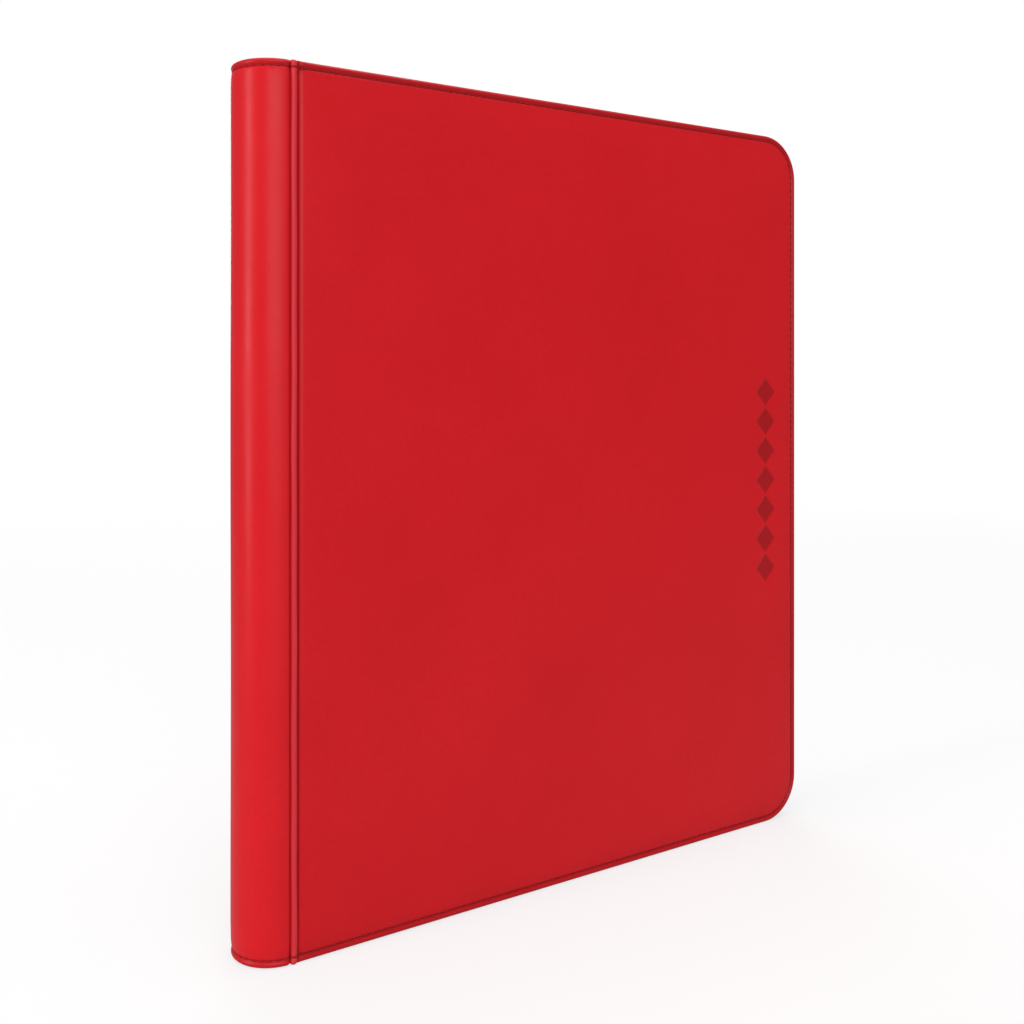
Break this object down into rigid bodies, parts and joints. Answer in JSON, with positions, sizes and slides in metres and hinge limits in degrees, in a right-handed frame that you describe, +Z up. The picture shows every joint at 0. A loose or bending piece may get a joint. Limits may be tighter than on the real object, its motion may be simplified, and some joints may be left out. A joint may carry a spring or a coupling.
{
  "type": "trading card binder",
  "caption": "Zip-round trading card binder with padded leatherette covers, a half-round spine, and pocket pages.",
  "frame": {"origin": "centre of the bottom edge of the closed binder, which stands upright", "axes": "+X from the spine to the fore edge, front cover faces -Y, back cover faces +Y, +Z up"},
  "size_m": [0.295, 0.033, 0.348],
  "materials": {
    "leatherette": "satin",
    "foam": "matte",
    "board": "matte",
    "lining": "matte",
    "stiffener": "matte",
    "zipper_tape": "matte",
    "zipper_coil": "satin",
    "slider_metal": "satin",
    "page": "satin"
  },
  "bodies": {
    "spine": {"spine_skin": "leatherette", "spine_stiffener": "stiffener", "spine_lining": "lining", "front_hinge_welt": "leatherette", "back_hinge_welt": "leatherette", "page_binding_block": "page", "spine_bottom_gusset": "lining", "spine_top_gusset": "lining"},
    "front_cover": {"front_cover_skin": "leatherette", "front_cover_foam": "foam", "front_cover_board": "board", "front_cover_lining": "lining", "front_zipper_binding": "zipper_tape", "front_zipper_tape": "zipper_tape", "front_zipper_chain": "zipper_coil"},
    "back_cover": {"back_cover_skin": "leatherette", "back_cover_foam": "foam", "back_cover_board": "board", "back_cover_lining": "lining", "back_zipper_binding": "zipper_tape", "back_zipper_tape": "zipper_tape", "back_zipper_chain": "zipper_coil", "zipper_top_stop": "slider_metal", "zipper_bottom_stop": "slider_metal"},
    "slider": {"slider_body": "slider_metal", "slider_bail": "slider_metal"},
    "pull": {"pull_tab": "slider_metal"},
    "turning_page_01": {"page_01": "page"},
    "turning_page_02": {"page_02": "page"},
    "turning_page_03": {"page_03": "page"},
    "turning_page_04": {"page_04": "page"},
    "turning_page_05": {"page_05": "page"},
    "turning_page_06": {"page_06": "page"},
    "turning_page_07": {"page_07": "page"},
    "turning_page_08": {"page_08": "page"},
    "turning_page_09": {"page_09": "page"},
    "turning_page_10": {"page_10": "page"},
    "turning_page_11": {"page_11": "page"},
    "turning_page_12": {"page_12": "page"},
    "turning_page_13": {"page_13": "page"},
    "turning_page_14": {"page_14": "page"},
    "turning_page_15": {"page_15": "page"},
    "turning_page_16": {"page_16": "page"},
    "turning_page_17": {"page_17": "page"},
    "turning_page_18": {"page_18": "page"},
    "turning_page_19": {"page_19": "page"},
    "turning_page_20": {"page_20": "page"}
  },
  "joints": [
    {"name": "front_cover_hinge", "type": "hinge", "parent": "spine", "child": "front_cover", "pos_m": [-0.1275, -0.0165, 0.174], "axis": [0, 0, -1], "range_deg": [0, 135]},
    {"name": "back_cover_hinge", "type": "hinge", "parent": "spine", "child": "back_cover", "pos_m": [-0.1275, 0.0165, 0.174], "axis": [0, 0, 1], "range_deg": [0, 135]},
    {"name": "slider_travel", "type": "slide", "parent": "back_cover", "child": "slider", "axis": [1, 0, 0], "range_m": [0, 0.2]},
    {"name": "pull_flip", "type": "hinge", "parent": "slider", "child": "pull", "pos_m": [-0.112, 0, 0.34425], "axis": [0, -1, 0], "range_deg": [0, 170]},
    {"name": "page_01_turn", "type": "hinge", "parent": "spine", "child": "turning_page_01", "pos_m": [-0.121, -0.01026, 0.174], "axis": [0, 0, -1], "range_deg": [0, 65.3]},
    {"name": "page_02_turn", "type": "hinge", "parent": "spine", "child": "turning_page_02", "pos_m": [-0.121, -0.00918, 0.174], "axis": [0, 0, -1], "range_deg": [0, 58.7]},
    {"name": "page_03_turn", "type": "hinge", "parent": "spine", "child": "turning_page_03", "pos_m": [-0.121, -0.0081, 0.174], "axis": [0, 0, -1], "range_deg": [0, 52.1]},
    {"name": "page_04_turn", "type": "hinge", "parent": "spine", "child": "turning_page_04", "pos_m": [-0.121, -0.00702, 0.174], "axis": [0, 0, -1], "range_deg": [0, 45.5]},
    {"name": "page_05_turn", "type": "hinge", "parent": "spine", "child": "turning_page_05", "pos_m": [-0.121, -0.00594, 0.174], "axis": [0, 0, -1], "range_deg": [0, 38.89]},
    {"name": "page_06_turn", "type": "hinge", "parent": "spine", "child": "turning_page_06", "pos_m": [-0.121, -0.00486, 0.174], "axis": [0, 0, -1], "range_deg": [0, 32.31]},
    {"name": "page_07_turn", "type": "hinge", "parent": "spine", "child": "turning_page_07", "pos_m": [-0.121, -0.00378, 0.174], "axis": [0, 0, -1], "range_deg": [0, 25.7]},
    {"name": "page_08_turn", "type": "hinge", "parent": "spine", "child": "turning_page_08", "pos_m": [-0.121, -0.0027, 0.174], "axis": [0, 0, -1], "range_deg": [0, 19.1]},
    {"name": "page_09_turn", "type": "hinge", "parent": "spine", "child": "turning_page_09", "pos_m": [-0.121, -0.00162, 0.174], "axis": [0, 0, -1], "range_deg": [0, 12.5]},
    {"name": "page_10_turn", "type": "hinge", "parent": "spine", "child": "turning_page_10", "pos_m": [-0.121, -0.00054, 0.174], "axis": [0, 0, -1], "range_deg": [0, 5.9]},
    {"name": "page_11_turn", "type": "hinge", "parent": "spine", "child": "turning_page_11", "pos_m": [-0.121, 0.00054, 0.174], "axis": [0, 0, 1], "range_deg": [0, 5.9]},
    {"name": "page_12_turn", "type": "hinge", "parent": "spine", "child": "turning_page_12", "pos_m": [-0.121, 0.00162, 0.174], "axis": [0, 0, 1], "range_deg": [0, 12.5]},
    {"name": "page_13_turn", "type": "hinge", "parent": "spine", "child": "turning_page_13", "pos_m": [-0.121, 0.0027, 0.174], "axis": [0, 0, 1], "range_deg": [0, 19.1]},
    {"name": "page_14_turn", "type": "hinge", "parent": "spine", "child": "turning_page_14", "pos_m": [-0.121, 0.00378, 0.174], "axis": [0, 0, 1], "range_deg": [0, 25.7]},
    {"name": "page_15_turn", "type": "hinge", "parent": "spine", "child": "turning_page_15", "pos_m": [-0.121, 0.00486, 0.174], "axis": [0, 0, 1], "range_deg": [0, 32.31]},
    {"name": "page_16_turn", "type": "hinge", "parent": "spine", "child": "turning_page_16", "pos_m": [-0.121, 0.00594, 0.174], "axis": [0, 0, 1], "range_deg": [0, 38.89]},
    {"name": "page_17_turn", "type": "hinge", "parent": "spine", "child": "turning_page_17", "pos_m": [-0.121, 0.00702, 0.174], "axis": [0, 0, 1], "range_deg": [0, 45.5]},
    {"name": "page_18_turn", "type": "hinge", "parent": "spine", "child": "turning_page_18", "pos_m": [-0.121, 0.0081, 0.174], "axis": [0, 0, 1], "range_deg": [0, 52.1]},
    {"name": "page_19_turn", "type": "hinge", "parent": "spine", "child": "turning_page_19", "pos_m": [-0.121, 0.00918, 0.174], "axis": [0, 0, 1], "range_deg": [0, 58.7]},
    {"name": "page_20_turn", "type": "hinge", "parent": "spine", "child": "turning_page_20", "pos_m": [-0.121, 0.01026, 0.174], "axis": [0, 0, 1], "range_deg": [0, 65.3]}
  ],
  "couplings": [
    {"joint": "page_01_turn", "follows": "front_cover_hinge", "ratio": 0.48},
    {"joint": "page_02_turn", "follows": "front_cover_hinge", "ratio": 0.4311},
    {"joint": "page_03_turn", "follows": "front_cover_hinge", "ratio": 0.3822},
    {"joint": "page_04_turn", "follows": "front_cover_hinge", "ratio": 0.3333},
    {"joint": "page_05_turn", "follows": "front_cover_hinge", "ratio": 0.2844},
    {"joint": "page_06_turn", "follows": "front_cover_hinge", "ratio": 0.2356},
    {"joint": "page_07_turn", "follows": "front_cover_hinge", "ratio": 0.1867},
    {"joint": "page_08_turn", "follows": "front_cover_hinge", "ratio": 0.1378},
    {"joint": "page_09_turn", "follows": "front_cover_hinge", "ratio": 0.0889},
    {"joint": "page_10_turn", "follows": "front_cover_hinge", "ratio": 0.04},
    {"joint": "page_11_turn", "follows": "back_cover_hinge", "ratio": 0.04},
    {"joint": "page_12_turn", "follows": "back_cover_hinge", "ratio": 0.0889},
    {"joint": "page_13_turn", "follows": "back_cover_hinge", "ratio": 0.1378},
    {"joint": "page_14_turn", "follows": "back_cover_hinge", "ratio": 0.1867},
    {"joint": "page_15_turn", "follows": "back_cover_hinge", "ratio": 0.2356},
    {"joint": "page_16_turn", "follows": "back_cover_hinge", "ratio": 0.2844},
    {"joint": "page_17_turn", "follows": "back_cover_hinge", "ratio": 0.3333},
    {"joint": "page_18_turn", "follows": "back_cover_hinge", "ratio": 0.3822},
    {"joint": "page_19_turn", "follows": "back_cover_hinge", "ratio": 0.4311},
    {"joint": "page_20_turn", "follows": "back_cover_hinge", "ratio": 0.48}
  ]
}
